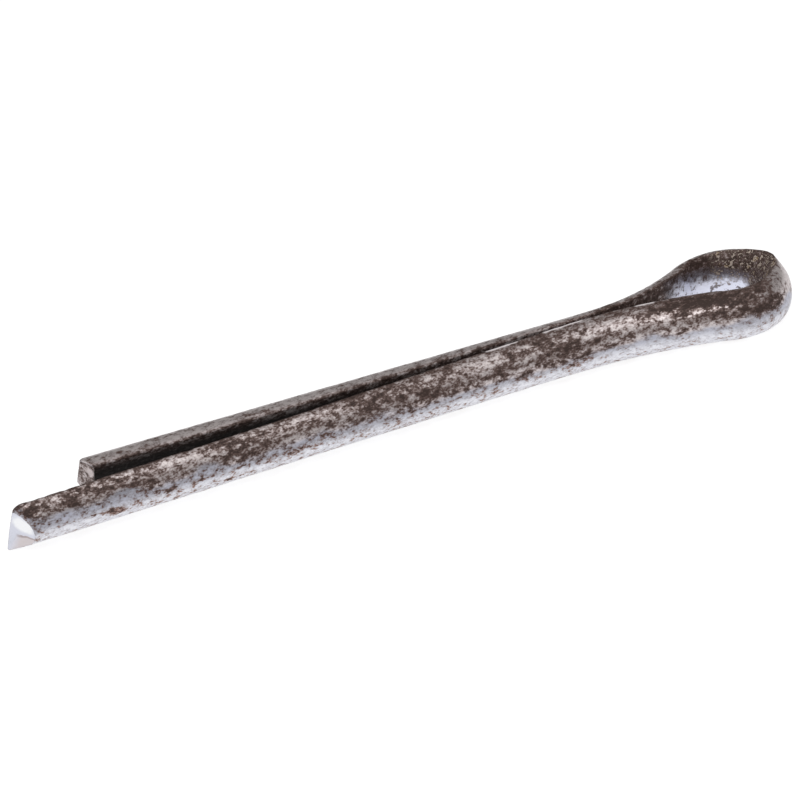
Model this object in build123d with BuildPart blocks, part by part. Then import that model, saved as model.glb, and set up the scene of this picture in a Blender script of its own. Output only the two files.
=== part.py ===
from build123d import *
import os
from math import acos, atan2, cos, degrees, radians, sin, sqrt, tan

# A used cotter pin: half-round wire folded flat to flat round an eye, lying on its side.
# It is drawn with its split line along the X axis, the eye's centre at x = 0, the tips towards -X and
# the long leg on the -Y side, and it is set down on the floor at the end.

# Wire
wire_width = 3.64  # across the flat
wire_depth = 1.82  # from the flat to the top of the round

# Eye, measured to the flat, which is the wire's inner side
eye_radius = 2.78
eye_offset = 0.45  # the eye sits this far off the split line, towards the short leg
eye_curl = 0.62  # how far the bend turns the wire's two edges outward at the crown

# Legs, measured from the eye's centre to the cut, at the middle of the flat
long_leg = 52.42
short_leg = 46.32
long_neck_radius = 32.90  # the bend between each leg and the eye
short_neck_radius = 15.00
neck_gap = 0.25  # between the two flats where the necks begin
leg_splay = 0.63  # each leg leans away from the split line by this angle
shank_twist = 28.10  # the wrung legs have turned by this angle at the long tip
twist_end = 8.60  # the twist has run out this far before the eye's centre

# Cut ends, left by shears
long_bevel = 31.00  # the long leg's round side is set back
short_bevel = 13.00  # the short leg's flat side is set back
long_rake = 5.00  # the long leg's upper side is set back
short_rake = 5.00  # the short leg's upper side is set back
long_roll = 1.00  # the shears rolled the upper corner over by this radius
short_roll = 0.20
long_burr = 0.41  # and drew the long leg's lower corner down by this much
burr_push = 0.55  # and towards the round by this much
burr_run = 1.20  # the burr begins this far from the cut
slant_run = 16.00  # sections lie parallel to the cut at the tip and square to the leg beyond this

# How many steps each stretch of the fold is drawn in
roll_count = 3
leg_count = 6
neck_count = 4
eye_count = 12

half_width = wire_width / 2
round_weights = (1, 1 / 3, 1 / 3, 1)  # with these a curve of four corners is an exact half round


def neck_start(neck_radius, side):
    """Where a leg meets its neck and how far the neck turns. The eye's centre is at side from the flat."""
    across = neck_radius * cos(radians(leg_splay)) + side
    reach = neck_radius + eye_radius
    back = sqrt(reach**2 - across**2) + neck_radius * sin(radians(leg_splay))
    return -back, degrees(acos(across / reach)) + leg_splay


def curl_at(x):
    """The wire's edges begin to turn outward where the eye begins and have turned fully at its crown."""
    run = min(max((x + eye_radius) / (2 * eye_radius), 0), 1)
    return eye_curl * run * run * (3 - 2 * run)


def twist_at(x):
    """The twist dies out along the legs, fastest near the eye."""
    run = min((x + long_leg) / (long_leg - twist_end), 1)
    return shank_twist * (1 - run * run)


def roll_at(distance, roll):
    """How far the rolled upper corner lies below the wire's edge at a distance from the cut."""
    left = max(roll - distance, 0)
    return roll - sqrt(roll**2 - left**2)


def section(spot, along, distance=slant_run, bevel=0, rake=0, roll=0, burr=0, push=0):
    """The wire's cross-section at a spot: its plane, and the corners of its round and its flat."""
    outward = along.cross(Vector(0, 0, 1))
    upward = Vector(0, 0, 1)
    slant = max(1 - distance / slant_run, 0)
    outward_step = outward + along * (slant * tan(radians(bevel)))
    upward_step = upward + along * (slant * tan(radians(rake)))
    turn = Location((0, 0, 0), (twist_at(spot.X), 0, 0))
    plane = Plane(turn * Plane(spot, x_dir=outward_step, z_dir=outward_step.cross(upward_step)).location)

    drawn = max(1 - distance / burr_run, 0) ** 2
    top = half_width - roll_at(distance, roll)
    curl = curl_at(spot.X)
    bulge = 2 * wire_depth - curl
    corners = (
        (curl + push * drawn, -half_width - burr * drawn),
        (bulge, -half_width),
        (bulge, half_width),
        (curl, top),
        (-curl, (top - half_width) / 2),
    )
    points = [spot + outward_step * out + upward_step * up for out, up in corners]
    turned = [(turn * Location(point)).position for point in points]
    return plane, [plane.to_local_coords(point) for point in turned]


# The fold is the line that the middle of the flat follows, seen from above
long_side = neck_gap / 2 + eye_offset
short_side = neck_gap / 2 - eye_offset
long_neck_x, long_turn = neck_start(long_neck_radius, long_side)
short_neck_x, short_turn = neck_start(short_neck_radius, short_side)
long_run = long_leg + long_neck_x
short_run = short_leg + short_neck_x
long_tip_y = -neck_gap / 2 - long_run * tan(radians(leg_splay))
with BuildLine() as fold:
    first_leg = Line((-long_leg, long_tip_y), (long_neck_x, -neck_gap / 2))
    first_neck = JernArc(first_leg @ 1, first_leg % 1, long_neck_radius, -long_turn)
    eye = JernArc(first_neck @ 1, first_neck % 1, eye_radius, 180 + long_turn + short_turn - 2 * leg_splay)
    second_neck = JernArc(eye @ 1, eye % 1, short_neck_radius, -short_turn)
    second_leg = Line(second_neck @ 1, (second_neck @ 1) + (second_neck % 1) * short_run)

# Each cut: how it slants as seen along the fold, its roll and its burr
long_cut = (long_bevel, long_rake, long_roll, long_burr, burr_push)
short_cut = (short_bevel, -short_rake, short_roll)


def even(start, end, count):
    """Numbers from start to end in this many equal steps."""
    return [start + (end - start) * step / count for step in range(count + 1)]


def leg_stretch(leg, tip, cut):
    """A leg's sections, close together at its tip, which is the end of the line that is cut."""
    roll = cut[2]
    over_roll = [roll * (1 - cos(radians(turn))) for turn in even(0, 90, roll_count)]
    distances = over_roll + even(burr_run, leg.length, leg_count)
    return [section(leg @ abs(tip - far / leg.length), leg % 0, far, *cut) for far in distances]


def bend_stretch(bend, count):
    """A bend's sections, evenly spaced."""
    return [section(bend @ place, bend % place) for place in even(0, 1, count)]


# The wire: half-round sections lofted stretch by stretch, each stretch ending on its neighbour's section.
# The straight legs are ruled from section to section and the bends are smooth.
stretches = (
    (leg_stretch(first_leg, 0, long_cut), True),
    (bend_stretch(first_neck, neck_count), False),
    (bend_stretch(eye, eye_count), False),
    (bend_stretch(second_neck, neck_count), False),
    (leg_stretch(second_leg, 1, short_cut), True),
)
with BuildPart() as wire:
    for stretch, straight in stretches:
        for plane, (foot, low, high, top, middle) in stretch:
            with BuildSketch(plane):
                with BuildLine():
                    Bezier(foot, low, high, top, weights=round_weights)
                    Bezier(top, middle, foot)
                make_face()
        loft(ruled=straight)

# Set down: the eye's underside and the long tip's burr touch the floor
wrung = radians(shank_twist)
burr_low = (burr_push - long_tip_y) * sin(wrung) + (half_width + long_burr) * cos(wrung)
tip_low = max(half_width - long_tip_y * sin(wrung), burr_low)
rest_tilt = degrees(atan2(tip_low - half_width, long_leg + eye_radius + eye_curl))
with BuildPart() as leaning:
    add(wire.part, rotation=(0, rest_tilt, 0))
box = leaning.part.bounding_box()
with BuildPart() as cotter_pin:
    with Locations((-box.center().X, -box.center().Y, -box.min.Z)):
        add(leaning.part)

cotter_pin.part.label = "cotter_pin"
os.makedirs("parts", exist_ok=True)
export_step(cotter_pin.part, "parts/cotter_pin.step")
print("size", box.size, "volume", round(cotter_pin.part.volume, 2))
print("solids", len(cotter_pin.part.solids()), "rest tilt", round(rest_tilt, 3))
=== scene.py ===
import bpy
import numpy as np
from mathutils import Matrix, Vector
from math import acos, atan2, cos, pi, radians, sin, sqrt, tan


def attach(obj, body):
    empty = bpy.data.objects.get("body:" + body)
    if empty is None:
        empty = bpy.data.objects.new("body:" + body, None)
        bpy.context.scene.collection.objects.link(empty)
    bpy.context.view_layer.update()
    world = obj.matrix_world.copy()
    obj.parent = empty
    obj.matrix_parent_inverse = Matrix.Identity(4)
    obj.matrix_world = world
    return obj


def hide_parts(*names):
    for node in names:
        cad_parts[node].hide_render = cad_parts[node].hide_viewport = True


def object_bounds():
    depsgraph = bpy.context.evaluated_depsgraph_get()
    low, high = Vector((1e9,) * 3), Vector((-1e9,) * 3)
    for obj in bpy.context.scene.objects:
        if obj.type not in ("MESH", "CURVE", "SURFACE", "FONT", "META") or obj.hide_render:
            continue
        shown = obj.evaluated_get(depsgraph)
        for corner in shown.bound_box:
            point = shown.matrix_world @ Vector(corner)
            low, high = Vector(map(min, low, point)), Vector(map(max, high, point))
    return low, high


# A used cotter pin lying on a white floor: half-round wire folded round an eye, its dull zinc gone brown.
# Shapes are worked out in millimetres and put into the meshes in metres.

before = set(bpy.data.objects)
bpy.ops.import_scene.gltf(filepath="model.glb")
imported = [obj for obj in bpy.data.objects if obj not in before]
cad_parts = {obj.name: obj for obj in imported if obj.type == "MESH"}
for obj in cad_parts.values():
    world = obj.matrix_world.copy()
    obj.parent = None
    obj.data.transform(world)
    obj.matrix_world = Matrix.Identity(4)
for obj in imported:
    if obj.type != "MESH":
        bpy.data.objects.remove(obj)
modelBox = [list(corner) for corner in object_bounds()]


class Signal:
    # one output socket of a node tree; sums written on it add Math nodes to that tree
    def __init__(self, tree, socket=None):
        self.tree = tree
        self.socket = socket

    def add(self, kind, settings=None, sockets=None, output=0):
        # a new node: first its settings, then its sockets' values or links; output picks what comes back
        node = self.tree.nodes.new(kind)
        for name, value in (settings or {}).items():
            if name == "stops":
                ramp = node.color_ramp
                while len(ramp.elements) < len(value):
                    ramp.elements.new(0.5)
                for element, (place, colour) in zip(ramp.elements, value):
                    element.position = place
                    element.color = colour
            else:
                setattr(node, name, value)
        for name, value in (sockets or {}).items():
            if isinstance(value, Signal):
                self.tree.links.new(value.socket, node.inputs[name])
            else:
                node.inputs[name].default_value = value
        return Signal(self.tree, node.outputs[output] if node.outputs else None)

    def sum(self, operation, other=0.0):
        return self.add("ShaderNodeMath", {"operation": operation}, {0: self, 1: other})

    def __add__(self, other):
        return self.sum("ADD", other)

    def __sub__(self, other):
        return self.sum("SUBTRACT", other)

    def __mul__(self, other):
        return self.sum("MULTIPLY", other)

    def __rsub__(self, other):
        return self.add("ShaderNodeMath", {"operation": "SUBTRACT"}, {0: other, 1: self})

    __radd__ = __add__
    __rmul__ = __mul__

    def larger(self, other):
        return self.sum("MAXIMUM", other)

    def smaller(self, other):
        return self.sum("MINIMUM", other)

    def step(self, low, high):
        # 0 below low and 1 above high, smooth between
        return self.add("ShaderNodeMapRange", {"interpolation_type": "SMOOTHSTEP"},
                        {"Value": self, "From Min": low, "From Max": high})

    def within(self, low, high, soft):
        # 1 between low and high, and 0 from soft beyond them
        return self.step(low - soft, low + soft) * (1.0 - self.step(high - soft, high + soft))

    # a Mix node has its sockets once for each data type, so the next two pick them by number
    def mix(self, under, over):
        # colour: under where this mask is 0, over where it is 1
        return self.add("ShaderNodeMix", {"data_type": "RGBA"}, {0: self, 6: under, 7: over}, 2)

    def blend(self, under, over):
        # number: under where this mask is 0, over where it is 1
        return self.add("ShaderNodeMix", {"data_type": "FLOAT"}, {0: self, 2: under, 3: over}, 0)

    def onScale(self, stops):
        # the colour that this number has on a scale of colours
        return self.add("ShaderNodeValToRGB", {"stops": stops}, {"Fac": self})

    def noise(self, kind):
        # noise at this place, moved by the kind's shift and then scaled axis by axis
        moved = self.add("ShaderNodeVectorMath", {"operation": "ADD"}, {0: self, 1: kind["shift"]})
        place = self.add("ShaderNodeVectorMath", {"operation": "MULTIPLY"}, {0: moved, 1: kind["scale"]})
        return self.add("ShaderNodeTexNoise", {}, {
            "Vector": place, "Scale": 1.0, "Detail": kind["detail"], "Roughness": kind["roughness"]})

    def spot(self, other, noise, form):
        # 1 where (this, other) is near the form's place and 0 away from it, with an edge made ragged by
        # noise; the distance is in units of the form's own width and height
        (x, y), (wide, high) = form["at"], form["size"]
        apart = self.add("ShaderNodeCombineXYZ", {}, {
            "X": (self - x) * (1 / wide), "Y": (other - y) * (1 / high)})
        away = self.add("ShaderNodeVectorMath", {"operation": "LENGTH"}, {0: apart}, "Value")
        return 1.0 - (away + (noise - 0.5) * form["ragged"]).step(*form["edge"])


def emptyNodes(holder):
    # the emptied node tree of a material or a world, as the signal that its sums start from
    holder.use_nodes = True
    holder.node_tree.nodes.clear()
    return Signal(holder.node_tree)


def putObject(name, data):
    # a new object in the scene
    thing = bpy.data.objects.new(name, data)
    bpy.context.scene.collection.objects.link(thing)
    return thing


# The pin's form, in millimetres and degrees, in the frame that the wire is bent in: its split line along X
# and the eye's centre at x = 0. Places along the wire are counted from the long tip.
pin = {
    "halfWidth": 1.82,      # of the flat
    "depth": 1.82,          # from the flat to the top of the round
    "cornerRound": 0.15,    # where the flat meets the round
    "eyeRadius": 2.78,      # to the flat
    "eyeOffset": 0.45,      # of the eye's centre, from the split line towards the short leg
    "eyeCurl": 0.62,        # how far the wire's edges turn outward at the crown
    "longLeg": 52.50,       # from the eye's centre to the tip
    "shortLeg": 46.02,
    "longNeck": 32.90,      # radius of the bend between the leg and the eye, to the flat
    "shortNeck": 15.00,
    "neckGap": 0.25,        # between the flats where the necks begin
    "legSplay": 0.63,       # of each leg
    "twist": 28.10,         # at the long tip
    "twistEnd": 8.60,       # the twist has run out this far before the eye's centre
    # the long cut is set back on its round by bevel and on its upper side by rake, the short one on its
    # flat and on its lower side; roll takes the top corner down, and burr, push and spike draw out the foot's
    "longCut": {
        "bevel": 31.0, "rake": 5.0, "roll": 0.64, "burr": 0.41, "push": 0.55, "spike": 0.52, "facet": 0.0},
    "shortCut": {
        "bevel": 28.7, "rake": 2.8, "roll": 0.12, "burr": 0.0, "push": 0.0, "spike": 0.0, "facet": 1.50},
    "facetFrom": 1.25,      # the short cut has a second facet beyond this, on its round side
    "facetAt": 5.0,         # and it faces this far up from straight out
    "facetRun": 1.60,       # it fades into the wire over this length
    "burrRun": 1.20,        # and the burr over this
    "burrReach": 1.50,      # how far from the foot corner the ring goes with it
    "slantRun": 16.00,      # sections lie in the cut at a tip and square to the leg beyond this
    "cutRound": 0.06,       # of the cut's own edge
    "lip": {"at": 57.3, "run": 1.3, "reach": 1.15, "out": 0.50, "up": 0.14},    # of the crown's upper edge
    "nick": {"at": 62.5, "run": 0.32, "reach": 0.66, "out": 0.06, "up": 0.27},  # nearer the short leg
    # how finely it is drawn: sections along the wire, crowded at the tips and in the eye, points of a
    # section on each corner, on its round and on its flat, and rings across each cut, crowded at its rim
    "mesh": {
        "sections": 950, "walkSteps": 20001, "tipCrowd": 3.0, "tipRun": 0.9, "eyeCrowd": 0.25,
        "corner": 6, "round": 54, "flat": 30, "capRings": 14, "rimCrowd": 1.5},
}


def neckStart(pin, radius, side):
    # Where a leg meets its neck, and how far the neck turns. Between the neck's centre and the eye's lies
    # reach, the sum of their radii, and across the legs radius cos(splay) + side, with side from the leg's
    # flat to the eye's centre. The neck starts sqrt(reach^2 - across^2) + radius sin(splay) before the
    # eye's centre, and it turns by acos(across / reach) + splay.
    splay = radians(pin["legSplay"])
    across = radius * cos(splay) + side
    reach = radius + pin["eyeRadius"]
    return -(sqrt(reach**2 - across**2) + radius * sin(splay)), acos(across / reach) + splay


def longNeckAndTip(pin):
    # The long leg's neck, as neckStart gives it, and its tip's y: half the gap and the leg's run times
    # tan(splay), on the negative side.
    x, turn = neckStart(pin, pin["longNeck"], pin["neckGap"] / 2 + pin["eyeOffset"])
    return x, turn, -pin["neckGap"] / 2 - (pin["longLeg"] + x) * tan(radians(pin["legSplay"]))


def foldLine(pin):
    # The middle of the flat, seen from above: its heading is constant on the legs and turns evenly on the
    # necks and the eye. Each point is the last one plus a chord of step * sin(half turn) / (half turn).
    mesh, splay = pin["mesh"], radians(pin["legSplay"])
    longX, longTurn, tipY = longNeckAndTip(pin)
    shortX, shortTurn = neckStart(pin, pin["shortNeck"], pin["neckGap"] / 2 - pin["eyeOffset"])
    eyeTurn = pi + longTurn + shortTurn - 2 * splay
    runs = [(pin["longLeg"] + longX) / cos(splay), pin["longNeck"] * longTurn, pin["eyeRadius"] * eyeTurn,
            pin["shortNeck"] * shortTurn, pin["shortLeg"] + shortX]
    knots = np.concatenate([[0], np.cumsum(runs)])
    turns = np.array([splay, splay, splay - longTurn, splay - longTurn + eyeTurn, pi - splay, pi - splay])
    # sections crowd together at the two cuts and a little in the eye
    fine = np.linspace(0, knots[-1], mesh["walkSteps"])
    nearTips = np.exp(-fine / mesh["tipRun"]) + np.exp((fine - knots[-1]) / mesh["tipRun"])
    inEye = (fine > knots[2]) & (fine < knots[3])
    crowd = 1 + mesh["tipCrowd"] * nearTips + mesh["eyeCrowd"] * inEye
    total = np.concatenate([[0], np.cumsum((crowd[1:] + crowd[:-1]) / 2)])
    walk = np.interp(np.linspace(0, total[-1], mesh["sections"]), total, fine)
    walk = np.sort(np.concatenate([walk, knots[1:-1]]))
    heading = np.interp(walk, knots, turns)
    chord = np.diff(walk) * np.sinc(np.diff(heading) / 2 / pi)
    middle = (heading[1:] + heading[:-1]) / 2
    x = -pin["longLeg"] + np.concatenate([[0], np.cumsum(chord * np.cos(middle))])
    y = tipY + np.concatenate([[0], np.cumsum(chord * np.sin(middle))])
    return walk, x, y, heading


def halfRound(pin):
    # One ring (out, up): a half circle on a flat, and two corners, arcs that touch both.
    mesh, size, small = pin["mesh"], pin["halfWidth"], pin["cornerRound"]
    reach = sqrt(size**2 - 2 * size * small)       # of the corner arcs' centres from the middle
    lean = atan2(reach, small)
    upper = np.linspace(pi, lean, mesh["corner"], endpoint=False)
    curve = np.linspace(lean, -lean, mesh["round"], endpoint=False)
    lower = np.linspace(-lean, -pi, mesh["corner"], endpoint=False)
    rise = np.linspace(-reach, reach, mesh["flat"], endpoint=False)
    out = np.concatenate([
        small + small * np.cos(upper), size * np.cos(curve), small + small * np.cos(lower), 0 * rise])
    up = np.concatenate([
        reach + small * np.sin(upper), size * np.sin(curve), -reach + small * np.sin(lower), rise])
    return out * pin["depth"] / size, up


def smooth(value, low, high):
    # 0 below low and 1 above high; between them 3 t^2 - 2 t^3, with t the share of the way.
    part = np.clip((value - low) / (high - low), 0, 1)
    return part * part * (3 - 2 * part)


def sweptWire(pin):
    # The half-round ring carried along the fold. Towards a cut each ring slants until it lies in the cut,
    # its upper edge is rolled down and its foot corner drawn out; the cut is that last ring shrunk to its
    # middle. At the crown the edges turn outward, and a lip and a nick are pulled out of the upper edge.
    walk, x, y, heading = foldLine(pin)
    ringOut, ringUp = halfRound(pin)
    size, depth = pin["halfWidth"], pin["depth"]
    length, capRings = walk[-1], pin["mesh"]["capRings"]
    inward = (np.arange(capRings) + 1) / (capRings + 1)
    inward = 1 - inward**pin["mesh"]["rimCrowd"]   # sizes of the cut's rings, from its rim to its middle
    rows = np.concatenate([np.zeros(capRings), walk, np.full(capRings, length)])
    shrink = np.concatenate([inward[::-1], np.ones(walk.size), inward])
    x, y, heading = [np.interp(rows, walk, value) for value in (x, y, heading)]
    onLong = rows < length / 2
    gone = np.where(onLong, rows, length - rows)[:, None]    # distance from the cut
    longCut, shortCut = pin["longCut"], pin["shortCut"]
    cut = {key: np.where(onLong, longCut[key], shortCut[key])[:, None] for key in longCut}

    # edges turned outward round the crown, by curl times the square of the distance from the flat's middle
    curl = pin["eyeCurl"] * smooth(x, -pin["eyeRadius"], pin["eyeRadius"])[:, None]
    out = ringOut * (depth - curl) / depth + curl * ((ringUp / size)**2 + (ringOut / depth)**2)
    up = np.broadcast_to(ringUp, out.shape)

    # rolled upper edge: the flat's upper corner goes down along a quarter circle, and the rest follows it,
    # the less the further down
    rollLeft = np.clip(cut["roll"] - gone, 0, None)
    down = cut["roll"] - np.sqrt(cut["roll"]**2 - rollLeft**2)
    part = (1 + np.tan(np.arctan2(ringUp, np.maximum(ringOut, 1e-6)) / 2)) / 2
    onRound = np.clip(ringOut / pin["cornerRound"], 0, 1)
    follows = onRound * part**3 / ((1 - part)**2 + part**2) + (1 - onRound) * (1 + ringUp / size) / 2
    up = up - down * follows

    # drawn foot corner: it moves towards the round, down and beyond the cut
    nearCut = np.clip(1 - gone / pin["burrRun"], 0, None)**2
    corner = nearCut * np.clip(1 - np.hypot(out, up + size) / pin["burrReach"], 0, 1)**1.5
    out = out + cut["push"] * corner
    up = up - cut["burr"] * corner
    beyond = cut["spike"] * corner

    # lip and nick on the crown's upper edge: a bell along the wire, fading with the distance from that edge
    for burr in (pin["lip"], pin["nick"]):
        bell = np.exp(-((rows[:, None] - burr["at"]) / burr["run"])**2)
        pull = bell * np.clip(1 - np.hypot(out - curl, up - size) / burr["reach"], 0, 1)**2
        out = out + burr["out"] * pull
        up = up + burr["up"] * pull

    # the cut's own edge is a small quarter round, and the rings across the cut shrink to its middle
    left = np.clip(pin["cutRound"] - gone, 0, None)
    inset = pin["cutRound"] - np.sqrt(pin["cutRound"]**2 - left**2)
    scale = shrink[:, None] * (1 - inset / size)
    middleOut, middleUp = out.mean(1, keepdims=True), up.mean(1, keepdims=True)
    out = middleOut + (out - middleOut) * scale
    up = middleUp + (up - middleUp) * scale
    beyond = beyond * scale

    # second facet: beyond facetFrom the cut falls back by facet times the distance past it
    facing = radians(pin["facetAt"])
    past = np.clip(out * cos(facing) + up * sin(facing) - pin["facetFrom"], 0, None)
    fallBack = cut["facet"] * past * np.clip(1 - gone / pin["facetRun"], 0, None)

    # slanted towards the cut, and laid along the fold
    slant = np.clip(1 - gone / pin["slantRun"], 0, None)
    lean = slant * (np.tan(np.radians(cut["bevel"])) * out + np.tan(np.radians(cut["rake"])) * up)
    lean = lean - fallBack - beyond
    alongX, alongY = np.cos(heading)[:, None], np.sin(heading)[:, None]
    points = np.stack([
        x[:, None] + alongY * out + alongX * lean, y[:, None] - alongX * out + alongY * lean, up], -1)

    # two places for every point, in millimetres: one along the wire, out from its flat and up, and one in
    # the frame that the wire is bent in, which doesn't stretch in the eye
    atCut = gone < pin["slantRun"]
    wireSpace = np.stack(np.broadcast_arrays(
        rows[:, None], np.where(atCut, out, ringOut), np.where(atCut, up, ringUp)), -1)
    grainSpace = points * np.array([1, -1, 1]) + np.array([pin["longLeg"], 0, 0])
    return points, wireSpace, grainSpace, x, shrink


def wrung(pin, points, x):
    # Turned about the X axis through the eye's centre, by twist (1 - t^2), with t the share of the way from
    # the long tip to where the twist has run out.
    run = np.clip((x + pin["longLeg"]) / (pin["longLeg"] - pin["twistEnd"]), None, 1)
    turn = np.radians(pin["twist"]) * (1 - run * run)[:, None]
    x, y, z = np.moveaxis(points, -1, 0)
    return np.stack([x, y * np.cos(turn) - z * np.sin(turn), y * np.sin(turn) + z * np.cos(turn)], -1)


def restPlace(pin, points):
    # Tilted about Y until the eye's underside and the long tip's burr are level. The tangent of the tilt is
    # how much lower the wrung burr hangs, over the length from it to the crown.
    turn, cut = radians(pin["twist"]), pin["longCut"]
    tipY = longNeckAndTip(pin)[2]
    low = (cut["push"] - tipY) * sin(turn) + (pin["halfWidth"] + cut["burr"]) * cos(turn)
    tilt = atan2(low - pin["halfWidth"], pin["longLeg"] + pin["eyeRadius"] + pin["eyeCurl"])
    x, y, z = np.moveaxis(points, -1, 0)
    return np.stack([x * cos(tilt) + z * sin(tilt), y, -x * sin(tilt) + z * cos(tilt)], -1)


print("sweeping the wire")
plain, wireSpace, grainSpace, rowX, shrink = sweptWire(pin)
plain = restPlace(pin, wrung(pin, plain, rowX))
low, high = plain.min((0, 1)), plain.max((0, 1))
crown = modelBox[1][0] * 1000
plain = plain - np.array([high[0] - crown, (low[1] + high[1]) / 2, low[2]])


# The wear, in millimetres: how deep it goes, and how long and wide its marks are along and across the wire.
# From and to are the values between which a mask goes from 0 to 1.
wear = {
    "sway": {"height": 0.020, "length": 6.0, "width": 2.6, "seed": 1, "layers": 2},
    "patch": {"length": 1.9, "width": 0.85, "seed": 3, "layers": 4},  # the rust's patches
    "scale": {"height": 0.014, "length": 0.34, "width": 0.22, "seed": 5, "layers": 2},  # grain on the rust
    "scaled": {"from": 0.5, "to": 0.75},      # rust that is thick enough for it
    "pit": {"height": 0.045, "length": 0.80, "width": 0.42, "seed": 8, "layers": 2,
            "from": 0.42, "to": 0.75},
    "pitted": {"from": 0.4, "to": 0.7},       # and for pits
    "knock": {"height": 0.045, "length": 0.75, "width": 0.5, "seed": 13, "layers": 2,
              "from": 0.05, "to": 0.6},
    "edgeReach": 0.24,                        # of the knocks, from the flat's two edges
    "tear": {"height": 0.030, "pitch": (0.4, 0.30, 1.6), "seed": 17, "layers": 3},  # across the cuts
    "rust": {"usual": 0.5, "patch": 0.62, "upper": 0.30, "upperLess": 0.62, "stain": 0.6},
    "upper": {"from": -0.35, "to": 0.45},     # the rustier side, by its height over the half width
    "flat": {"from": 0.04, "to": 0.12},       # how far out the flat ends, over the wire's depth
    "cut": {"from": 0.0, "to": 0.03},         # how far in from its rim the cut begins
    # how far up a side faces where the finish of the lower side and of the foot ends, and how that wavers;
    # the foot's pale finish is partly a painted reflection of the floor
    "below": {"from": -0.14, "to": 0.12, "waver": 0.30, "tip": 0.26, "tipRun": (6, 26)},
    "foot": {"from": -0.55, "to": 0.02, "waver": 0.10},
    # stains and clean places: millimetres along the wire, degrees round it (0 faces out, 90 is the flat's
    # upper edge), millimetres long and wide, and how much rust there is above or below what is usual
    "stains": [
        (0.3, 80, 0.7, 0.5, 0.14), (0.2, 52, 0.35, 0.8, 0.12), (3.7, 55, 0.35, 1.0, 0.20),
        (6.1, 63, 1.2, 0.45, 0.14), (14.4, 78, 1.3, 0.5, 0.14), (16.0, 62, 1.0, 0.6, 0.14),
        (18.0, 40, 1.0, 0.5, 0.08), (25.6, 50, 1.3, 0.6, 0.15), (27.8, 42, 0.6, 0.45, 0.10),
        (29.9, 34, 0.9, 0.6, 0.14), (36.0, 51, 0.4, 0.4, 0.18), (38.4, 66, 0.8, 0.5, 0.14),
        (39.4, 30, 1.1, 0.5, 0.12), (40.6, 62, 0.9, 0.45, 0.12), (40.6, 5, 0.8, 0.45, 0.12),
        (49.6, 62, 2.4, 0.55, 0.15), (50.4, 24, 2.0, 0.25, 0.12), (52.6, 52, 1.0, 0.6, 0.12),
        (53.4, 72, 0.6, 0.4, 0.16), (53.6, 15, 1.4, 0.55, 0.26), (5.6, 10, 0.6, 0.25, 0.18),
        (10.4, 17, 0.4, 0.2, 0.16), (12.9, 15, 0.6, 0.15, 0.18), (15.0, -10, 0.7, 0.18, 0.20),
        (20.2, 9, 1.2, 0.13, 0.22), (22.3, 21, 0.7, 0.25, 0.12), (2.6, 30, 2.4, 0.7, -0.08),
        (11.9, 66, 2.4, 0.5, -0.12), (23.4, 62, 1.6, 0.45, -0.08), (34.0, 60, 1.6, 0.5, -0.09),
        (44.0, 46, 2.6, 0.55, -0.10), (1.6, 68, 1.6, 0.6, 0.09), (3.0, 12, 2.6, 0.10, 0.15),
        (33.0, 28, 9.0, 0.45, 0.06), (34.0, 82, 10.0, 0.30, 0.06), (50.0, 56, 4.0, 0.7, 0.15),
        (55.8, 50, 2.0, 0.8, -0.13), (25.0, 62, 8.5, 0.5, 0.05), (49.5, -5, 4.5, 0.7, -0.10),
        (56.6, 10, 2.0, 1.3, -0.20),
    ],
}


def latticeNoise(points, seed, cells=32):
    # Noise in -1 to 1: random numbers on a whole-number lattice that repeats after so many cells, blended
    # between the eight corners of a cell by 3 t^2 - 2 t^3 along each axis.
    table = np.random.default_rng(seed).uniform(-1, 1, (cells, cells, cells))
    low = np.floor(points).astype(int)
    part = smooth(points - low, 0, 1)
    value = 0
    for corner in range(8):
        side = np.array([corner & 1, corner >> 1 & 1, corner >> 2 & 1])
        cell = (low + side) % cells
        weight = np.prod(np.where(side == 1, part, 1 - part), axis=-1)
        value = value + weight * table[cell[..., 0], cell[..., 1], cell[..., 2]]
    return value


def layeredNoise(points, seed, layers):
    # Noise added to itself at half the pitch and half the height, layer by layer, and the sum over 1.5.
    return sum(latticeNoise(points * 2**layer, seed + layer) / 2**layer for layer in range(layers)) / 1.5


def wireNoise(grainSpace, mark):
    # Noise drawn out along the wire: its lattice is length by width by width, moved aside by 7.3 seeds.
    pitch = np.array([mark["length"], mark["width"], mark["width"]])
    return layeredNoise(grainSpace / pitch + 7.3 * mark["seed"], mark["seed"], mark["layers"])


def masked(value, mask):
    # smooth, between the two values that the mask goes by
    return smooth(value, mask["from"], mask["to"])


def surfaceNormals(points):
    # Across times along at each point of the grid, which closes round the wire.
    across = np.roll(points, -1, axis=1) - np.roll(points, 1, axis=1)
    along = np.gradient(points, axis=0)
    normal = np.cross(across, along)
    return normal / np.maximum(np.linalg.norm(normal, axis=-1, keepdims=True), 1e-12)


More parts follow.
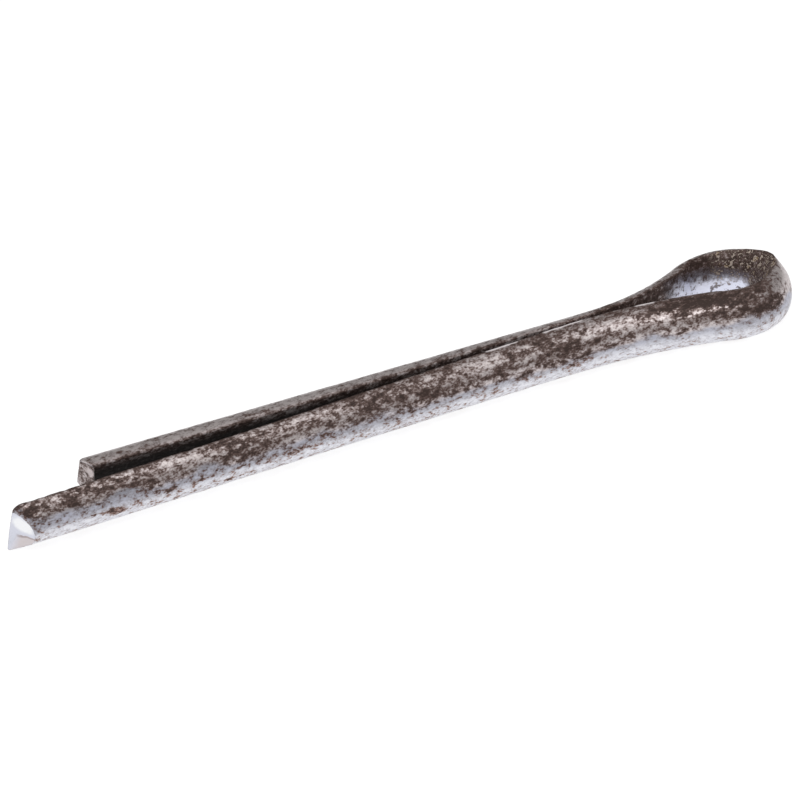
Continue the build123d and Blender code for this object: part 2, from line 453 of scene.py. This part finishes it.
def wornSurface(pin, wear, plain, wireSpace, grainSpace, shrink):
    # The plain form moved along its normals: slow sway, grain and pits where rust lies, knocks along the
    # edges and tearing across the cuts. What each point is comes back as masks from 0 to 1, with the
    # stains, a sum of bells along and round the wire.
    size, amount, tear = pin["halfWidth"], wear["rust"], wear["tear"]
    along, out, up = np.moveaxis(wireSpace, -1, 0)
    onCut = np.broadcast_to(masked(1 - shrink, wear["cut"])[:, None], out.shape)
    onFlat = (1 - masked(out / pin["depth"], wear["flat"])) * (1 - onCut)
    edge = np.exp(-(np.hypot(out, np.abs(up) - size) / wear["edgeReach"])**2) * (1 - onCut)
    around = np.arctan2(up, np.maximum(out, 1e-6))
    stain = sum(strength * np.exp(-((along - at) / long)**2 - (size * (around - radians(angle)) / wide)**2)
                for at, angle, long, wide, strength in wear["stains"]) * (1 - onFlat) * (1 - onCut)
    patch = wireNoise(grainSpace, wear["patch"])
    above = masked(up / size, wear["upper"]) - amount["upperLess"]
    rust = np.clip(
        amount["usual"] + amount["patch"] * patch + amount["upper"] * above + amount["stain"] * stain, 0, 1)

    relief = wear["sway"]["height"] * wireNoise(grainSpace, wear["sway"])
    grain = 0.6 + wireNoise(grainSpace, wear["scale"])
    relief = relief + wear["scale"]["height"] * grain * masked(rust, wear["scaled"]) * (1 - onCut)
    pits = masked(wireNoise(grainSpace, wear["pit"]), wear["pit"])
    relief = relief - wear["pit"]["height"] * pits * masked(rust, wear["pitted"]) * (1 - onCut)
    knocks = masked(wireNoise(grainSpace, wear["knock"]), wear["knock"])
    relief = relief - wear["knock"]["height"] * knocks * edge
    tears = layeredNoise(grainSpace / np.array(tear["pitch"]), tear["seed"], tear["layers"])
    relief = relief + tear["height"] * tears * onCut

    normal = surfaceNormals(plain)
    faces = normal[..., 2]
    atTip = wear["below"]["tip"] * (1 - smooth(along, *wear["below"]["tipRun"]))
    below = 1 - masked(faces + wear["below"]["waver"] * patch - atTip, wear["below"])
    # foot: where the finish turns palest, partly a cleaner underside and partly a painted reflection of the
    # floor
    foot = 1 - masked(faces + wear["foot"]["waver"] * patch, wear["foot"])
    masks = {"rust": rust, "stain": stain, "edge": edge, "flat": onFlat, "cut": onCut}
    return plain + normal * relief[..., None], {**masks, "below": below, "foot": foot}


def putMesh(name, grid, attributes):
    # A grid that closes round its second way, with a point at the middle of each end to close it there.
    rows, ring = grid.shape[:2]
    poles = np.stack([grid[0].mean(0), grid[-1].mean(0)])
    points = np.concatenate([grid.reshape(-1, 3), poles]) / 1000
    around = np.arange(ring)
    after = (around + 1) % ring
    rowStarts = np.arange(rows - 1)[:, None] * ring
    here, beside = rowStarts + around, rowStarts + after
    quads = np.stack([here, beside, beside + ring, here + ring], -1)
    first = np.stack([np.full(ring, rows * ring), after, around], -1)
    lastRow = (rows - 1) * ring
    last = np.stack([np.full(ring, rows * ring + 1), lastRow + around, lastRow + after], -1)
    corners = np.concatenate([quads.ravel(), first.ravel(), last.ravel()])
    starts = np.concatenate([np.arange(here.size) * 4, here.size * 4 + np.arange(2 * ring) * 3])
    mesh = bpy.data.meshes.new(name)
    mesh.vertices.add(len(points))
    mesh.loops.add(len(corners))
    mesh.polygons.add(len(starts))
    mesh.vertices.foreach_set("co", points.astype(np.float32).ravel())
    mesh.loops.foreach_set("vertex_index", corners.astype(np.int32))
    mesh.polygons.foreach_set("loop_start", starts.astype(np.int32))
    mesh.polygons.foreach_set("use_smooth", np.ones(len(starts), bool))
    mesh.update(calc_edges=True)
    mesh.validate()
    for label, values in attributes.items():
        kind, field = ("FLOAT_VECTOR", "vector") if values.ndim == 3 else ("FLOAT", "value")
        ends = np.stack([values[0].mean(0), values[-1].mean(0)])
        everything = np.concatenate([values.ravel(), ends.ravel()]).astype(np.float32)
        mesh.attributes.new(label, kind, "POINT").data.foreach_set(field, everything)
    return putObject(name, mesh)


print("wearing its surface")
grid, masks = wornSurface(pin, wear, plain, wireSpace, grainSpace, shrink)
wire = putMesh("cotter_pin_wire", grid, {"wireSpace": wireSpace, "grainSpace": grainSpace, **masks})


# The wire's finish. A pair of numbers is where a mask goes from 0 to 1.
finish = {
    # scales of colour for the upper side, the lower side and the foot, by the amount of rust from 0 to 1; the
    # foot's pale colours are partly a cleaner underside and partly a painted reflection of the floor
    "upper": (
        (0.27, (0.64, 0.585, 0.58, 1.0)),
        (0.41, (0.46, 0.405, 0.405, 1.0)),
        (0.50, (0.29, 0.235, 0.225, 1.0)),
        (0.60, (0.120, 0.076, 0.066, 1.0)),
        (0.78, (0.042, 0.022, 0.017, 1.0)),
    ),
    "side": (
        (0.26, (0.43, 0.435, 0.51, 1.0)),
        (0.48, (0.34, 0.335, 0.375, 1.0)),
        (0.60, (0.235, 0.215, 0.235, 1.0)),
        (0.70, (0.150, 0.085, 0.070, 1.0)),
        (0.80, (0.06, 0.036, 0.032, 1.0)),
    ),
    # the foot's paler scale is partly a painted reflection of the floor
    "foot": (
        (0.26, (0.86, 0.865, 0.91, 1.0)),
        (0.47, (0.68, 0.675, 0.725, 1.0)),
        (0.55, (0.54, 0.51, 0.525, 1.0)),
        (0.63, (0.38, 0.235, 0.19, 1.0)),
        (0.80, (0.12, 0.07, 0.06, 1.0)),
    ),
    # noises in the frame that the wire is bent in: cycles to the millimetre, and a shift in millimetres
    "blotch": {"scale": (0.85, 1.5, 1.5), "shift": (3.0, 0.0, 0.0), "detail": 2.0, "roughness": 0.5},
    "speck": {"scale": (2.1, 3.1, 3.1), "shift": (0.0, 5.0, 0.0), "detail": 2.0, "roughness": 0.6},
    "grain": {"scale": (6.0, 9.0, 9.0), "shift": (0.0, 0.0, 9.0), "detail": 1.0, "roughness": 0.5},
    "drawn": {"scale": (0.16, 9.0, 9.0), "shift": (0.0, 2.0, 4.0), "detail": 2.0, "roughness": 0.5},
    # the rust: how much each noise adds, less a level, and less again on the short leg and at the foot; and
    # how much of it makes the upper and the lower side dull
    "rust": {"mask": 0.14, "blotch": 0.40, "speck": 1.00, "grain": 0.50, "drawn": 0.10, "level": 0.57,
             "shortLegLess": 0.14, "footLess": 0.02, "dullAbove": (0.50, 0.64), "dullBelow": (0.62, 0.74)},
    # where the finish changes: millimetres along the wire, and how soft the ends are
    "stretches": {
        "openFlat": (4.5, 8.5),            # the long leg's flat is open before this and in painted shade beyond
        "necksAndEye": (35.5, 74.5, 2.5),
        "eye": (46.0, 65.2, 1.0),
        "frontToCrown": (50.0, 58.6, 0.4),
        "crown": (55.5, 60.9, 0.5),
        "paler": (63.0, 70.0, 1.0),
        "shortLeg": (70.0, 74.0),
        "shortHalf": (60.0, 61.0),         # tells the short cut from the long one
        "rubs": ((34.6, 37.0, 0.25), (38.9, 41.8, 0.3), (45.6, 47.0, 0.2)),
    },
    # the brown film on the flat, also painted shade in the eye: its lower edge at the eye's rear side rises
    # along the wire and is ragged by the noises; under it the flat is a painted reflection of the floor,
    # darkening into painted shade towards that edge
    "filmAndShade": {"at": 64.0, "up": 0.80, "rise": 0.20, "speck": 1.3, "grain": 0.9, "blotch": 0.6,
             "edge": (0.05, 0.85), "more": 0.20, "palerBy": 0.04},
    # under the film's edge in the eye: a bluish white painted reflection of the floor, and the painted shade
    # it turns into
    "reflectionAndShade": {"colour": (0.82, 0.84, 0.97, 1.0), "shade": (0.23, 0.21, 0.245, 1.0), "shaded": (-0.55, 0.35),
              "rusty": (0.55, 0.66), "rustShare": 0.65, "more": 0.05},
    "fleck": {"gold": (0.46, 0.33, 0.19, 1.0), "pale": (0.64, 0.54, 0.47, 1.0), "speck": 0.55,
              "grain": 0.45, "edge": (0.535, 0.58), "blotch": 2.0, "up": (0.4, 1.2), "share": 0.75,
              "paleBlotch": 0.4, "paleGrain": 0.6, "paleEdge": (0.46, 0.52)},
    # painted shade between the legs: near black on the flats, lighter towards their upper edge
    "splitShade": {"colour": (0.017, 0.012, 0.011, 1.0), "thin": (0.95, 1.75), "thinBy": 0.85, "speck": 0.5,
             "least": 0.70},
    # the rubbed edge: worn, and painted near white as a highlight
    "rubHighlight": {"colour": (0.98, 0.92, 0.94, 1.0), "up": (1.0, 1.35), "level": 2.9, "blotch": 1.6, "speck": 2.0,
            "edge": (0.15, 0.60), "share": 0.9},
    # the long cut: bluish metal, dull below a slanting streak, with a glare at its middle
    "fresh": {"colour": (0.72, 0.735, 0.82, 1.0), "foot": (0.68, 0.625, 0.635, 1.0),
              "footEdge": (-0.15, 0.25), "footOut": (0.5, 1.0)},
    "streak": {"colour": (0.34, 0.265, 0.26, 1.0), "rise": 0.47, "up": 1.05, "waver": 0.5,
               "edge": (0.02, 0.17), "out": (0.5, 0.9), "share": 0.75},
    "glare": {"colour": (0.97, 0.98, 1.0, 1.0), "at": (0.90, 0.42), "size": (1.0, 0.80), "ragged": 0.6,
              "edge": (0.45, 1.0)},
    # the short cut: brown, with a pale spot
    "aged": {"more": 0.22, "up": 0.03},
    "spot": {"colour": (0.74, 0.66, 0.66, 1.0), "at": (0.35, 0.80), "size": (0.40, 0.50), "ragged": 1.2,
             "edge": (0.5, 1.1), "share": 0.8},
    # metal and roughness of bare and of dull places, and the small relief's shares and height in metres
    "metal": (0.82, 0.20),
    "rough": (0.36, 0.66),
    "roughGrain": 0.25,
    "roughCut": 0.42,
    "dullFilm": 0.75,
    "dullRub": 0.6,
    "bump": {"drawn": 0.40, "grain": 0.5, "speck": 0.8, "rust": 0.5, "height": 0.000014},
}

print("mixing the finish")
material = bpy.data.materials.new("worn_zinc_steel")
start = emptyNodes(material)
place = start.add("ShaderNodeAttribute", {"attribute_name": "wireSpace"}, {}, "Vector")
grainPlace = start.add("ShaderNodeAttribute", {"attribute_name": "grainSpace"}, {}, "Vector")
rustMask, stainMask, edgeMask, flatMask, cutMask, belowMask, footAndReflectionMask = [
    start.add("ShaderNodeAttribute", {"attribute_name": name}, {}, "Fac")
    for name in ("rust", "stain", "edge", "flat", "cut", "below", "foot")]
along, outward, upward = [
    start.add("ShaderNodeSeparateXYZ", {}, {"Vector": place}, axis) for axis in ("X", "Y", "Z")]
blotch, speck, grain, drawn = [
    grainPlace.noise(finish[name]) for name in ("blotch", "speck", "grain", "drawn")]
stretches = finish["stretches"]

# rust on the round: warm above, bluish below and palest at the foot, where the pale colour is partly a
# cleaner underside and partly a painted reflection of the floor
parts = finish["rust"]
rust = rustMask * parts["mask"] + blotch * parts["blotch"] + speck * parts["speck"] + grain * parts["grain"]
rust = rust + drawn * parts["drawn"] - parts["level"] + stainMask
rust = rust - along.step(*stretches["shortLeg"]) * parts["shortLegLess"]
lower = footAndReflectionMask.mix(rust.onScale(finish["side"]), (rust - parts["footLess"]).onScale(finish["foot"]))
colour = belowMask.mix(rust.onScale(finish["upper"]), lower)
corroded = belowMask.blend(rust.step(*parts["dullAbove"]), rust.step(*parts["dullBelow"]))

# the flat: a brown film, partly painted shade in the eye, and under the film's edge in the eye a painted
# reflection of the floor that darkens into painted shade towards that edge
filmAndShade, reflectionUnderFilm = finish["filmAndShade"], finish["reflectionAndShade"]
edgeHeight = (along - filmAndShade["at"]) * filmAndShade["rise"] + filmAndShade["up"]
ragged = (speck - 0.5) * filmAndShade["speck"] + (grain - 0.5) * filmAndShade["grain"] + (blotch - 0.5) * filmAndShade["blotch"]
aboveEdge = upward - edgeHeight + ragged
filmAndShadeMask = aboveEdge.step(*filmAndShade["edge"]).larger(along.within(*stretches["frontToCrown"]))
filmAndShadeMask = filmAndShadeMask.larger(1.0 - along.within(*stretches["eye"]))
filmAndShadeRust = rust + filmAndShade["more"] - along.within(*stretches["paler"]) * filmAndShade["palerBy"]
# painted reflection of the floor under the film's edge, turning into painted shade towards that edge
reflectionAndShade = aboveEdge.step(*reflectionUnderFilm["shaded"]).mix(reflectionUnderFilm["colour"], reflectionUnderFilm["shade"])
rustOnReflection = (rust + reflectionUnderFilm["more"]).onScale(finish["side"])
reflectionAndShade = (rust.step(*reflectionUnderFilm["rusty"]) * reflectionUnderFilm["rustShare"]).mix(reflectionAndShade, rustOnReflection)
colour = flatMask.mix(colour, filmAndShadeMask.mix(reflectionAndShade, filmAndShadeRust.onScale(finish["upper"])))

# golden and pale flecks high up at the crown
fleck = finish["fleck"]
flecks = (speck * fleck["speck"] + grain * fleck["grain"]).step(*fleck["edge"])
flecks = flecks * along.within(*stretches["crown"]) * (upward + blotch * fleck["blotch"]).step(*fleck["up"])
pale = (blotch * fleck["paleBlotch"] + grain * fleck["paleGrain"]).step(*fleck["paleEdge"])
colour = (flatMask * flecks * fleck["share"]).mix(colour, pale.mix(fleck["gold"], fleck["pale"]))

# painted shade between the legs, lighter towards the flat's upper edge
splitShade = finish["splitShade"]
# painted shade: the flat between the legs darkened, except where the legs open near the long tip
splitShadeMask = flatMask * (1.0 - along.within(*stretches["necksAndEye"])) * along.step(*stretches["openFlat"])
splitShadeMask = splitShadeMask * (1.0 - upward.step(*splitShade["thin"]) * splitShade["thinBy"])
splitShadeMask = splitShadeMask * (speck * splitShade["speck"] + splitShade["least"]).smaller(1.0)
colour = splitShadeMask.mix(colour, splitShade["colour"])

# the flat's upper edge is rubbed in places near the neck, and painted near white there as a highlight
rubHighlight = finish["rubHighlight"]
firstRub, secondRub, thirdRub = [along.within(*stretch) for stretch in stretches["rubs"]]
rubHighlightPlace = edgeMask * firstRub.larger(secondRub).larger(thirdRub) * upward.step(*rubHighlight["up"])
rubHighlightMask = (rubHighlightPlace * (rubHighlight["level"] - blotch * rubHighlight["blotch"] - speck * rubHighlight["speck"])).step(*rubHighlight["edge"])
colour = (rubHighlightMask * rubHighlight["share"]).mix(colour, rubHighlight["colour"])

# the long cut
fresh, streak, glare = finish["fresh"], finish["streak"], finish["glare"]
aboveStreak = upward - outward * streak["rise"] + streak["up"] + (blotch - 0.5) * streak["waver"]
atFoot = (1.0 - aboveStreak.step(*fresh["footEdge"])) * outward.step(*fresh["footOut"])
longCut = atFoot.mix(fresh["colour"], fresh["foot"])
longCut = outward.spot(upward, blotch, glare).mix(longCut, glare["colour"])
onStreak = (1.0 - aboveStreak.sum("ABSOLUTE").step(*streak["edge"])) * outward.step(*streak["out"])
longCut = (onStreak * streak["share"]).mix(longCut, streak["colour"])

# the short cut
aged, spot = finish["aged"], finish["spot"]
shortCut = (rust + upward * aged["up"] + aged["more"]).onScale(finish["upper"])
shortCut = (outward.spot(upward, speck, spot) * spot["share"]).mix(shortCut, spot["colour"])
colour = cutMask.mix(colour, along.step(*stretches["shortHalf"]).mix(longCut, shortCut))

# rust, film, the painted shade between the legs and the rubbed edges with their painted highlight are dull,
# and the rest is metal
dull = corroded.larger(flatMask * filmAndShadeMask * finish["dullFilm"]).larger(splitShadeMask)
dull = dull.larger(rubHighlightMask * finish["dullRub"]) * (1.0 - cutMask)
rough = dull.blend(*finish["rough"]) + (grain - 0.5) * finish["roughGrain"]
bump = finish["bump"]
relief = drawn * bump["drawn"] + grain * bump["grain"] + speck * bump["speck"] - corroded * bump["rust"]
normal = start.add("ShaderNodeBump", {}, {"Strength": 1.0, "Distance": bump["height"], "Height": relief})
shader = start.add("ShaderNodeBsdfPrincipled", {}, {
    "Base Color": colour, "Metallic": dull.blend(*finish["metal"]),
    "Roughness": cutMask.blend(rough, finish["roughCut"]), "Normal": normal})
start.add("ShaderNodeOutputMaterial", {}, {"Surface": shader})
wire.data.materials.append(material)
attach(wire, "root")
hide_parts("cotter_pin")


# The studio: a floor that looks white, a room that is brightest above and in front, and one square lamp.
studio = {
    "floorSize": 3.0,
    "floorColour": (0.32, 0.32, 0.33, 1.0),
    "floorGlow": 0.84,                      # only to the camera and in reflections
    "glowColour": (1.0, 1.0, 1.0, 1.0),
    "brightest": (-0.14, -0.46, 0.88),      # direction of the room's brightest part
    "brightFrom": (0.45, 0.95),             # the cosines between which the room turns into the bright part
    "roomGlow": 0.36,
    "skyGlow": 0.88,
    "skyColour": (1.0, 0.985, 0.97, 1.0),
    "lampPlace": (-0.12, -0.33, 0.66),
    "lampSize": 0.55,
    "lampPower": 1.3,
}

print("setting up the studio")
half = studio["floorSize"] / 2
floorCorners = [(-half, -half, 0), (half, -half, 0), (half, half, 0), (-half, half, 0)]
floorMesh = bpy.data.meshes.new("floor")
floorMesh.from_pydata(floorCorners, [], [(0, 1, 2, 3)])
floor = putObject("floor", floorMesh)
floorMaterial = bpy.data.materials.new("white_floor")
start = emptyNodes(floorMaterial)
cameraRay, glossyRay, throughRay = [start.add("ShaderNodeLightPath", output=ray) for ray in (
    "Is Camera Ray", "Is Glossy Ray", "Is Transmission Ray")]
strength = cameraRay.larger(glossyRay).larger(throughRay) * studio["floorGlow"]
glow = start.add("ShaderNodeEmission", {}, {"Color": studio["glowColour"], "Strength": strength})
matt = start.add("ShaderNodeBsdfDiffuse", {}, {"Color": studio["floorColour"]})
both = start.add("ShaderNodeAddShader", {}, {0: matt, 1: glow})
start.add("ShaderNodeOutputMaterial", {}, {"Surface": both})
floorMesh.materials.append(floorMaterial)

world = bpy.data.worlds.new("studio")
bpy.context.scene.world = world
start = emptyNodes(world)
direction = start.add("ShaderNodeTexCoord", output="Generated")
towardsBright = start.add("ShaderNodeVectorMath", {"operation": "DOT_PRODUCT"},
                          {0: direction, 1: studio["brightest"]}, "Value")
sky = towardsBright.step(*studio["brightFrom"]).blend(studio["roomGlow"], studio["skyGlow"])
background = start.add("ShaderNodeBackground", {}, {"Color": studio["skyColour"], "Strength": sky})
start.add("ShaderNodeOutputWorld", {}, {"Surface": background})

lamp = bpy.data.lights.new("key_softbox", "AREA")
lamp.shape = "SQUARE"
lamp.size = studio["lampSize"]
lamp.energy = studio["lampPower"]
softbox = putObject("key_softbox", lamp)
softbox.location = studio["lampPlace"]
softbox.rotation_euler = (-Vector(studio["lampPlace"])).to_track_quat("-Z", "Y").to_euler()

# the photograph's viewing angle: a long lens from the front and above, turned about its own axis
view = {
    "lookAt": (-0.342, -0.642, 2.047),   # mm
    "azimuth": -18.365,
    "elevation": 25.533,
    "roll": -9.343,
    "distance": 0.649,                   # m
    "lens": 436.5,                       # mm
    "sensor": 36,
    "clipStart": 0.01,                   # m
}

cameraData = bpy.data.cameras.new("camera")
cameraData.lens = view["lens"]
cameraData.sensor_width = view["sensor"]
cameraData.clip_start = view["clipStart"]
camera = putObject("camera", cameraData)
turned = Matrix.Rotation(radians(view["azimuth"]), 4, "Z")
turned = turned @ Matrix.Rotation(radians(90 - view["elevation"]), 4, "X")
turned = turned @ Matrix.Rotation(radians(view["roll"]), 4, "Z")
back = turned.to_3x3() @ Vector((0, 0, 1))
camera.matrix_world = Matrix.Translation(Vector(view["lookAt"]) / 1000 + back * view["distance"]) @ turned
bpy.context.scene.camera = camera
bpy.context.scene.view_settings.view_transform = "Standard"

print("triangles", sum(len(face.vertices) - 2 for face in wire.data.polygons))
